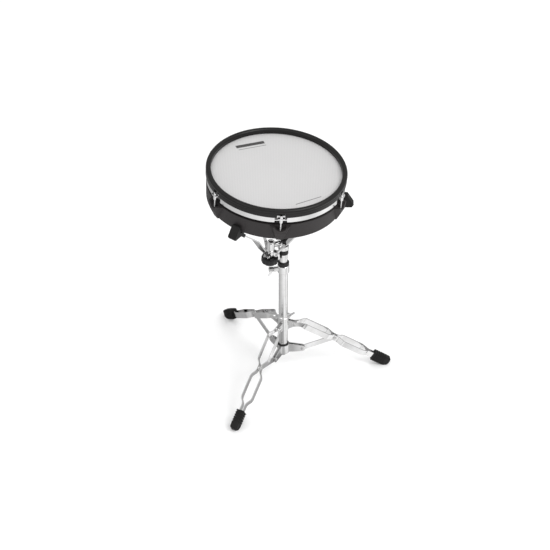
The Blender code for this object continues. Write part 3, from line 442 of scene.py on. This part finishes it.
def gathered(shapes):
    """Several shapes as one."""
    whole = bmesh.new()
    for shape in shapes:
        bmesh.ops.recalc_face_normals(shape, faces=shape.faces)
        carrier = bpy.data.meshes.new("carrier")
        shape.to_mesh(carrier)
        shape.free()
        whole.from_mesh(carrier)
        bpy.data.meshes.remove(carrier)
    return whole


def add_object(name, shape, matrix=None):
    """A shape as a new object, with its own coordinates at a matrix."""
    bmesh.ops.recalc_face_normals(shape, faces=shape.faces)
    mesh = bpy.data.meshes.new(name)
    shape.to_mesh(mesh)
    shape.free()
    item = bpy.data.objects.new(name, mesh)
    bpy.context.scene.collection.objects.link(item)
    if matrix is not None:
        item.matrix_world = matrix
    return item


def carve(item, operation, shape):
    """Join a shape to an object, or cut it away, and keep only the result."""
    tool = add_object(item.name + "_tool", shape, item.matrix_world)
    modifier = item.modifiers.new(operation, "BOOLEAN")
    modifier.operation = operation
    modifier.solver = "EXACT"
    modifier.object = tool
    settle(item)
    bpy.data.objects.remove(tool)


def rooted(item):
    """Give an object the model's own coordinates, leaving it where it is."""
    item.data.transform(item.matrix_world)
    item.matrix_world = Matrix.Identity(4)


def settle(item):
    """Turn an object's modifiers into its mesh."""
    bpy.context.view_layer.update()
    graph = bpy.context.evaluated_depsgraph_get()
    mesh = bpy.data.meshes.new_from_object(item.evaluated_get(graph))
    item.modifiers.clear()
    item.data = mesh


def soften(item, width, segments=2, angle=30.0):
    """Round an object's sharp edges and shade it smooth."""
    if width:
        bevel = item.modifiers.new("edges", "BEVEL")
        bevel.width = width
        bevel.segments = segments
        bevel.limit_method = "ANGLE"
        bevel.angle_limit = radians(angle)
        settle(item)
    item.data.shade_smooth()
    item.data.set_sharp_from_angle(angle=radians(38.0))
    normals = item.modifiers.new("normals", "WEIGHTED_NORMAL")
    normals.keep_sharp = True


def dress(item, *nodes):
    """Give a new piece the finish and the body of the nodes it stands for, and hide those nodes."""
    slot = SLOT_OF[nodes[0]]
    item.data.materials.clear()
    item.data.materials.append(LOOKS[slot])
    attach(item, BODY_OF[nodes[0]])
    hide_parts(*nodes)
    return item


def refined(node, width, segments=2, angle=30.0):
    """A CAD node's own shape, with its flat faces made whole and its edges rounded."""
    shape = bmesh.new()
    shape.from_mesh(frame["nodes"][node].data)
    bmesh.ops.remove_doubles(shape, verts=shape.verts, dist=MERGE)
    bmesh.ops.dissolve_limit(
        shape, angle_limit=radians(0.8), verts=shape.verts, edges=shape.edges,
    )
    corners = [vertex.co.copy() for vertex in shape.verts]
    shape.verts.index_update()
    faces = [[vertex.index for vertex in face.verts] for face in shape.faces]
    shape.free()
    mesh = bpy.data.meshes.new(node + "_fine")
    mesh.from_pydata(corners, [], faces)
    item = bpy.data.objects.new(node + "_fine", mesh)
    bpy.context.scene.collection.objects.link(item)
    soften(item, width, segments, angle)
    return dress(item, node)


def turned(name, node, outline, steps, matrix):
    """A piece turned on a lathe, in place of a CAD node."""
    item = add_object(name, spun(outline, steps), matrix)
    soften(item, 0.0)
    return dress(item, node)


# --- the pad --------------------------------------------------------------------------------
def around_lugs(maker):
    """One shape at each lug, from a maker that draws it on +X."""
    return gathered([moved(maker(), lug_turn(index)) for index in range(LUGS)])


def add_mesh_skin():
    """The woven head: flat across the top, folded over the shell's edge and pulled down."""
    fold = 1.6 * MM
    path = [(radius * MM, MESH_TOP) for radius in (6.0, 30.0, 60.0, 90.0, 120.0, 140.0)]
    path += arc((MESH_FOLD - fold, MESH_TOP - fold), fold, 90.0, 0.0, 5)
    path += [(MESH_FOLD, height) for height in np.linspace(MESH_TOP - 6.0 * MM, MESH_HEM, 4)]
    shape = bmesh.new()
    middle = shape.verts.new((0.0, 0.0, MESH_TOP))
    rings = []
    for radius, height in path:
        row = []
        for angle in np.linspace(0.0, 2.0 * pi, FINE, endpoint=False):
            row.append(shape.verts.new((radius * cos(angle), radius * sin(angle), height)))
        rings.append(row)
    for index in range(FINE):
        after = (index + 1) % FINE
        shape.faces.new((middle, rings[0][index], rings[0][after]))
        for inner, outer in zip(rings, rings[1:]):
            shape.faces.new((inner[index], outer[index], outer[after], inner[after]))
    skin = add_object("mesh_skin", shape, PAD)
    cloth = skin.modifiers.new("thickness", "SOLIDIFY")
    cloth.thickness = 0.45 * MM
    cloth.offset = -1.0
    settle(skin)
    skin.data.shade_smooth()
    dress(skin, "mesh_head")


def skirt_notch():
    return box((153.2 * MM, -8.8 * MM, -21.0 * MM), (160.0 * MM, 8.8 * MM, -9.6 * MM))


def add_rim():
    """The rubber rim: a round bead, a fine crease under it and a thin skirt over the hoop."""
    centre = (RIM_BEAD_CENTRE, -RIM_BEAD_RADIUS - 0.2 * MM)
    underside = MESH_TOP + 0.4 * MM
    outline = [(144.8 * MM, underside)]
    outline += arc(centre, RIM_BEAD_RADIUS, 180.0, -18.0, 26)
    outline += [(155.5 * MM, -8.4 * MM), (155.9 * MM, -9.2 * MM), (156.0 * MM, -10.2 * MM)]
    outline += [(156.0 * MM, -19.3 * MM), (155.6 * MM, -20.0 * MM), (154.8 * MM, -20.0 * MM)]
    outline += [(154.4 * MM, -19.6 * MM), (154.4 * MM, -14.2 * MM), (151.2 * MM, -14.2 * MM)]
    outline += [(151.2 * MM, underside)]
    rim = add_object("rim_rubber_ring", spun(outline, FINE), PAD)
    carve(rim, "DIFFERENCE", around_lugs(skirt_notch))
    rooted(rim)
    soften(rim, 0.5 * MM, 2, 40.0)
    dress(rim, "rim_cover")


def hoop_window():
    return box((151.0 * MM, -13.5 * MM, -33.8 * MM), (157.0 * MM, 13.5 * MM, -20.4 * MM))


def ear_shape():
    corner = 3.2 * MM
    outer = ROD_CIRCLE + 5.5 * MM
    half = 7.6 * MM
    outline = [(152.4 * MM, -half)]
    outline += arc((outer - corner, -half + corner), corner, -90.0, 0.0, 8)
    outline += arc((outer - corner, half - corner), corner, 0.0, 90.0, 8)
    outline += [(152.4 * MM, half)]
    return slab(outline, *EAR)


def ear_boss():
    return round_bar(4.2 * MM, -29.0 * MM, EAR[1] - 1.0 * MM, ROUND)


def ear_hole():
    return round_bar(2.6 * MM, -35.0 * MM, -10.0 * MM, 32)


def add_hoop():
    """The bright band under the rubber, open behind each rod, with an ear for each rod."""
    inner, outer = 151.6 * MM, 154.1 * MM
    top, bottom = -14.6 * MM, -33.2 * MM
    roll = 0.9 * MM
    outline = [(inner, top), (outer, top), (outer, bottom + 3.0 * MM)]
    outline += [(outer + 0.35 * MM, bottom + 2.2 * MM)]
    outline += arc((outer - roll + 0.35 * MM, bottom + roll), roll, 0.0, -90.0, 5)
    outline += [(inner, bottom), (inner, -30.2 * MM), (147.7 * MM, -30.2 * MM)]
    outline += [(147.7 * MM, -28.2 * MM), (inner, -28.2 * MM)]
    hoop = add_object("hoop_band", spun(outline, FINE), PAD)
    carve(hoop, "DIFFERENCE", around_lugs(hoop_window))
    carve(hoop, "UNION", around_lugs(ear_shape))
    carve(hoop, "UNION", around_lugs(ear_boss))
    carve(hoop, "DIFFERENCE", around_lugs(ear_hole))
    rooted(hoop)
    soften(hoop, 0.25 * MM, 2, 60.0)
    dress(hoop, "counter_hoop")


def boss_shape():
    """A shell boss that takes one rod: wide at its mouth and drawn in towards the floor."""
    levels = (
        (SHELL_TOP - 0.5 * MM, 163.8 * MM, 24.0 * MM, 17.0 * MM),
        (SHELL_TOP - 17.0 * MM, 163.8 * MM, 17.5 * MM, 12.0 * MM),
        (SHELL_BOTTOM + 1.0 * MM, 154.6 * MM, 8.5 * MM, 7.0 * MM),
    )
    inner = 150.6 * MM
    sections = []
    for height, outer, root, face in levels:
        sections.append([
            (inner, -root, height), (outer, -face, height),
            (outer, face, height), (inner, root, height),
        ])
    return lofted(sections)


def boss_scoop():
    """The round hollow in a boss's mouth, lying along the radius."""
    radius, inner, outer = 12.5 * MM, 153.0 * MM, 172.0 * MM
    outline = [(0.0, inner), (radius, inner), (radius, outer), (0.0, outer)]
    lying = Matrix.Rotation(pi / 2.0, 4, "Y")
    return moved(spun(outline, ROUND), Matrix.Translation((0.0, 0.0, SHELL_TOP + 2.0 * MM)) @ lying)


def boss_hole():
    return round_bar(2.7 * MM, -62.0 * MM, -35.0 * MM, 32)


def add_shell():
    """The dark shell: a floor, a wall with six bosses, and the ring that the head lies on."""
    wall_top = MESH_TOP - 1.1 * MM
    floor_top = SHELL_BOTTOM + SHELL_WALL
    under_top = SHELL_TOP - SHELL_WALL
    outline = [(0.0, floor_top), (147.5 * MM, floor_top), (150.2 * MM, floor_top + 2.7 * MM)]
    outline += [(SHELL_RADIUS - SHELL_WALL, under_top), (143.2 * MM, under_top)]
    outline += [(143.2 * MM, wall_top), (145.9 * MM, wall_top), (145.9 * MM, SHELL_TOP)]
    outline += arc((SHELL_RADIUS - 1.6 * MM, SHELL_TOP - 1.6 * MM), 1.6 * MM, 90.0, 0.0, 6)
    outline += [(153.3 * MM, SHELL_BOTTOM + 6.0 * MM)]
    outline += arc((148.3 * MM, SHELL_BOTTOM + 5.0 * MM), 5.0 * MM, 0.0, -90.0, 8)
    outline += [(0.0, SHELL_BOTTOM)]
    shell = add_object("shell_body", spun(outline, FINE), PAD)
    carve(shell, "UNION", around_lugs(boss_shape))
    carve(shell, "DIFFERENCE", around_lugs(boss_scoop))
    carve(shell, "DIFFERENCE", around_lugs(boss_hole))
    rooted(shell)
    soften(shell, 0.9 * MM, 3, 22.0)
    dress(shell, "shell")


def threads(radius, start, count, pitch, depth):
    """The outline of a screw's threads, drawn as rings."""
    outline = []
    for index in range(count):
        height = start + index * pitch
        outline += [(radius, height), (radius - depth, height + 0.5 * pitch)]
    return outline


def add_rods():
    """Tension rods with a washer, a square key head and rolled threads."""
    seat = EAR[1] + 0.3 * MM
    radius, pitch = 2.25 * MM, 0.9 * MM
    outline = [(0.0, -60.5 * MM), (radius, -60.5 * MM)]
    outline += threads(radius, -52.5 * MM, 14, pitch, 0.28 * MM)
    outline += [(radius, -39.6 * MM), (radius, seat), (3.5 * MM, seat)]
    outline += [(3.65 * MM, seat + 0.3 * MM), (3.65 * MM, seat + 0.9 * MM)]
    outline += [(3.2 * MM, seat + 1.3 * MM), (2.9 * MM, seat + 1.9 * MM), (0.0, seat + 2.0 * MM)]
    half = 2.3 * MM
    for index in range(LUGS):
        place = PAD @ lug_turn(index) @ Matrix.Translation((ROD_CIRCLE, 0.0, 0.0))
        rod = add_object(f"rod_{index + 1}", spun(outline, 32), place)
        carve(rod, "UNION", box((-half, -half, seat + 1.0 * MM), (half, half, seat + 4.9 * MM)))
        soften(rod, 0.3 * MM, 2, 50.0)
        dress(rod, f"tension_rod_{index + 1}")


# --- round fittings -------------------------------------------------------------------------
def add_upright(name, node, wall, edge):
    """A tube or ring on the stand's axis, as tall and wide as its CAD node."""
    low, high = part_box(node)
    centre = 0.5 * (low + high)
    place = Matrix.Translation((centre.x, centre.y, low.z))
    height = high.z - low.z
    radius = 0.5 * (high.x - low.x)
    inner = radius - wall
    outline = [(inner, 0.0)]
    outline += arc((radius - edge, edge), edge, -90.0, 0.0, 4)
    outline += arc((radius - edge, height - edge), edge, 0.0, 90.0, 4)
    outline += [(inner, height)]
    return turned(name, node, outline, ROUND, place)


def add_rivet(node, axis, head, dome):
    """A domed rivet across a joint, at the middle of its CAD node."""
    stem = 2.0 * MM
    low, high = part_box(node)
    middle = 0.5 * (low + high)
    shape = frame["nodes"][node].data
    along = Vector(axis)
    reach = max((vertex.co - middle).dot(along) for vertex in shape.vertices)
    inner = reach - dome
    outline = [(0.0, -reach)]
    outline += [(head * sin(a), -inner - dome * cos(a)) for a in np.linspace(0.25, 0.5 * pi, 6)]
    outline += [(head, -inner), (stem, -inner), (stem, inner), (head, inner)]
    outline += [(head * sin(a), inner + dome * cos(a)) for a in np.linspace(0.5 * pi, 0.25, 6)]
    outline += [(0.0, reach)]
    return turned(node + "_domed", node, outline, 28, facing(middle, along))


def add_shaft():
    """The basket's threaded rod, with its domed cap over the tilter."""
    radius, end = 5.0 * MM, -53.0 * MM
    cap_radius, cap_height, dome = 8.0 * MM, 12.4 * MM, 2.9 * MM
    outline = [(0.0, end), (radius - 0.9 * MM, end), (radius, end + 0.9 * MM)]
    outline += threads(radius, end + 1.2 * MM, 17, 1.25 * MM, 0.5 * MM)
    outline += [(radius, -30.0 * MM), (radius, 11.3 * MM), (cap_radius, 11.3 * MM)]
    for turn in np.linspace(0.0, 0.5 * pi, 9):
        outline.append((cap_radius * cos(turn), cap_height + dome * sin(turn)))
    turned("shaft_threaded", "basket_shaft", outline, ROUND, BASKET)


def add_nut():
    """The black nut: ten finger scallops, a rounded top, a bore and a ring groove round it."""
    low, high = NUT
    lobes = 10
    levels = (
        (low, 0.88), (low + 0.8 * MM, 0.95), (low + 2.0 * MM, 1.0), (high - 3.0 * MM, 1.0),
        (high - 1.5 * MM, 0.96), (high - 0.6 * MM, 0.90), (high, 0.84),
    )
    sections = []
    for height, size in levels:
        section = []
        for angle in np.linspace(0.0, 2.0 * pi, 20 * lobes, endpoint=False):
            dip = max(0.0, -cos(lobes * angle)) ** 0.8
            radius = size * (NUT_RADIUS - 1.0 * MM * dip)
            section.append((radius * cos(angle), radius * sin(angle), height))
        sections.append(section)
    nut = add_object("nut_body", lofted(sections), BASKET)
    for inner, outer, start, end in (
        (0.0, 5.3 * MM, low - 2.0 * MM, high + 2.0 * MM),
        (8.4 * MM, 11.0 * MM, high - 0.5 * MM, high + MM),
    ):
        ring = [(inner, start), (outer, start), (outer, end), (inner, end)]
        carve(nut, "DIFFERENCE", spun(ring, ROUND))
    soften(nut, 0.3 * MM, 2, 35.0)
    dress(nut, "basket_nut")


def add_pad():
    add_mesh_skin()
    add_rim()
    add_hoop()
    add_shell()
    add_rods()


def add_stand():
    add_upright("lower_tube_smooth", "lower_tube", TUBE_WALL, 0.4 * MM)
    add_upright("upper_tube_smooth", "upper_tube", TUBE_WALL, 0.4 * MM)
    add_upright("bushing_smooth", "tube_bushing", 3.6 * MM, 1.2 * MM)
    add_upright("mast_ring_smooth", "mast_ring", 1.7 * MM, 0.8 * MM)
    add_upright("washer_smooth", "collar_washer", 2.2 * MM, 0.7 * MM)
    for node in (
        "height_clamp", "leg_collar", "brace_collar", "tilter_base", "tilter_head", "basket_hub",
    ):
        refined(node, 0.5 * MM)
    add_shaft()
    refined("tube_end_cap", 0.5 * MM)
    for node in ("height_wing_bolt", "collar_wing_bolt", "tilter_wing_bolt"):
        refined(node, 0.5 * MM, 2, 40.0)
    for index in (1, 2, 3):
        across = JOINTS[f"leg_{index}_fold"]["axis"]
        for side in ("left", "right"):
            refined(f"leg_{index}_{side}_strip", 0.45 * MM)
        refined(f"leg_{index}_foot", 0.35 * MM)
        refined(f"brace_{index}", 0.45 * MM)
        refined(f"basket_arm_{index}", 0.5 * MM)
        refined(f"basket_grip_{index}", 1.2 * MM, 3)
        add_rivet(f"leg_{index}_pin", across, 4.0 * MM, 1.4 * MM)
        add_rivet(f"leg_{index}_waist_rivet", across, 4.4 * MM, 1.4 * MM)
        add_rivet(f"brace_{index}_pin", across, 4.0 * MM, 1.4 * MM)
        add_rivet(f"arm_{index}_pin", JOINTS[f"arm_{index}_open"]["axis"], 3.2 * MM, 1.2 * MM)


def dress_kept_nodes():
    """The CAD nodes that stay as they are take the finish of their slot."""
    for name, node in frame["nodes"].items():
        if node.hide_render:
            continue
        for holder in node.material_slots:
            holder.link = "OBJECT"
            holder.material = LOOKS[SLOT_OF[name]]


# --- the studio -----------------------------------------------------------------------------
def add_floor():
    bpy.ops.mesh.primitive_plane_add(size=FLOOR_SIZE, location=(0.0, 0.0, -FLOOR_DROP))
    floor = bpy.context.object
    floor.name = "floor"
    look = Look("floor", Roughness=0.9, Specular_IOR_Level=0.1)
    tone = look.noise(0.8, 3.0, 0.5)
    look.colour(look.ramp(tone, [(0.0, 0.93), (1.0, 0.95)]))
    floor.data.materials.append(look.material)


def add_reflected(name, shape, around, shade):
    """Surroundings that only polished parts see, with darker stretches that draw their edges."""
    card = add_object(name, shape, Matrix.Translation((0.0, 0.0, FLOOR_DROP)))
    look = Look(name)
    place = split_place(look, look.place)
    angle = look.math("ARCTAN2", place.outputs["X"], place.outputs["Y"])
    glow = look.add("ShaderNodeEmission")
    look.link(look.ramp(look.span(angle, 0.0, 1.0, -pi, pi), around), glow.inputs["Color"])
    look.link(shade(look, place), glow.inputs["Strength"])
    output = look.tree.nodes["Material Output"]
    look.link(glow.outputs["Emission"], output.inputs["Surface"])
    card.data.materials.append(look.material)
    for kind in ("camera", "diffuse", "shadow", "transmission", "volume_scatter"):
        setattr(card, f"visible_{kind}", False)


def floor_shade(look, place):
    """Dimmer near the stand, but not on the right, and most of all round the front leg."""
    across = look.math("MULTIPLY", place.outputs["X"], place.outputs["X"])
    along = look.math("MULTIPLY", place.outputs["Y"], place.outputs["Y"])
    distance = look.math("SQRT", look.math("ADD", across, along))
    outwards = look.ramp(look.span(distance, 0.0, 1.0, 0.0, FLOOR_NEAR), FLOOR_OUTWARDS)
    behind = look.span(place.outputs["Y"], 0.55, 1.0, -0.12, -0.02)
    beyond = look.span(distance, 0.55, 1.0, 0.25, 0.33)
    dimmed = look.math("MULTIPLY", outwards, look.math("MAXIMUM", behind, beyond))
    on_right = look.span(place.outputs["X"], 0.5, 1.0, -0.01, 0.03)
    return look.math("MULTIPLY", look.math("MAXIMUM", dimmed, on_right), FLOOR_GLOW)


def sky_shade(look, place):
    """Brighter high up than near the horizon."""
    height = look.span(place.outputs["Z"], 0.0, 1.0, 0.0, SKY_RADIUS)
    return look.math("MULTIPLY", look.ramp(height, SKY_UPWARDS), SKY_GLOW)


def add_reflected_floor():
    shape = bmesh.new()
    bmesh.ops.create_circle(shape, cap_ends=True, segments=64, radius=CARD_RADIUS)
    add_reflected("reflected_floor", shape, FLOOR_AROUND, floor_shade)


def add_reflected_sky():
    shape = bmesh.new()
    bmesh.ops.create_uvsphere(shape, u_segments=48, v_segments=24, radius=SKY_RADIUS)
    below = [vertex for vertex in shape.verts if vertex.co.z < -MM]
    bmesh.ops.delete(shape, geom=below, context="VERTS")
    add_reflected("reflected_sky", shape, SKY_AROUND, sky_shade)


def add_light(name, location, energy, size):
    """A round lamp that looks at the middle of the stand."""
    data = bpy.data.lights.new(name, "AREA")
    data.energy = energy
    data.shape = "DISK"
    data.size = size
    lamp = bpy.data.objects.new(name, data)
    bpy.context.scene.collection.objects.link(lamp)
    lamp.location = location
    lamp.rotation_mode = "QUATERNION"
    aim = Vector(LIGHT_TARGET) - Vector(location)
    lamp.rotation_quaternion = aim.to_track_quat("-Z", "Y")


def add_world():
    """A pale surrounding light, with darker stretches across it."""
    world = bpy.data.worlds.new("studio")
    world.use_nodes = True
    tree = world.node_tree
    place = tree.nodes.new("ShaderNodeTexCoord")
    split = tree.nodes.new("ShaderNodeSeparateXYZ")
    tree.links.new(place.outputs["Generated"], split.inputs["Vector"])
    ramp = tree.nodes.new("ShaderNodeValToRGB")
    stops = [
        (0.0, 0.55), (0.30, 0.72), (0.48, 1.0), (0.60, 0.96), (0.68, 0.60), (0.75, 1.0), (1.0, 0.85),
    ]
    points = ramp.color_ramp.elements
    while len(points) < len(stops):
        points.new(0.5)
    for point, (position, grey) in zip(points, stops):
        point.position = position
        point.color = (grey, grey, grey, 1.0)
    spread = tree.nodes.new("ShaderNodeMapRange")
    spread.inputs["From Min"].default_value = -1.0
    tree.links.new(split.outputs["X"], spread.inputs["Value"])
    tree.links.new(spread.outputs["Result"], ramp.inputs["Fac"])
    background = tree.nodes["Background"]
    tree.links.new(ramp.outputs["Color"], background.inputs["Color"])
    background.inputs["Strength"].default_value = WORLD_GLOW
    bpy.context.scene.world = world


def add_camera():
    """The view from in front and above, at the height and distance that the pad's outline gives."""
    tube_low, tube_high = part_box("lower_tube")
    axis = 0.5 * (tube_low + tube_high)
    target = Vector((axis.x - CAMERA_ASIDE, axis.y, CAMERA_HEIGHT))
    back = Vector((0.0, -cos(CAMERA_ELEVATION), sin(CAMERA_ELEVATION)))
    data = bpy.data.cameras.new("camera")
    data.lens = CAMERA_LENS
    data.sensor_width = 36.0
    data.clip_start = 0.1
    camera = bpy.data.objects.new("camera", data)
    bpy.context.scene.collection.objects.link(camera)
    camera.location = target + CAMERA_DISTANCE * back
    camera.rotation_mode = "QUATERNION"
    camera.rotation_quaternion = (-back).to_track_quat("-Z", "Y")
    bpy.context.scene.camera = camera


def add_studio():
    add_floor()
    add_reflected_floor()
    add_reflected_sky()
    add_world()
    add_light("key", (1.6, -1.3, 2.6), 26.0, 1.3)
    add_light("fill", (-1.8, -1.6, 1.9), 7.0, 1.6)
    bpy.context.scene.view_settings.view_transform = "Standard"


add_pad()
add_nut()
add_stand()
dress_kept_nodes()
add_camera()
add_studio()
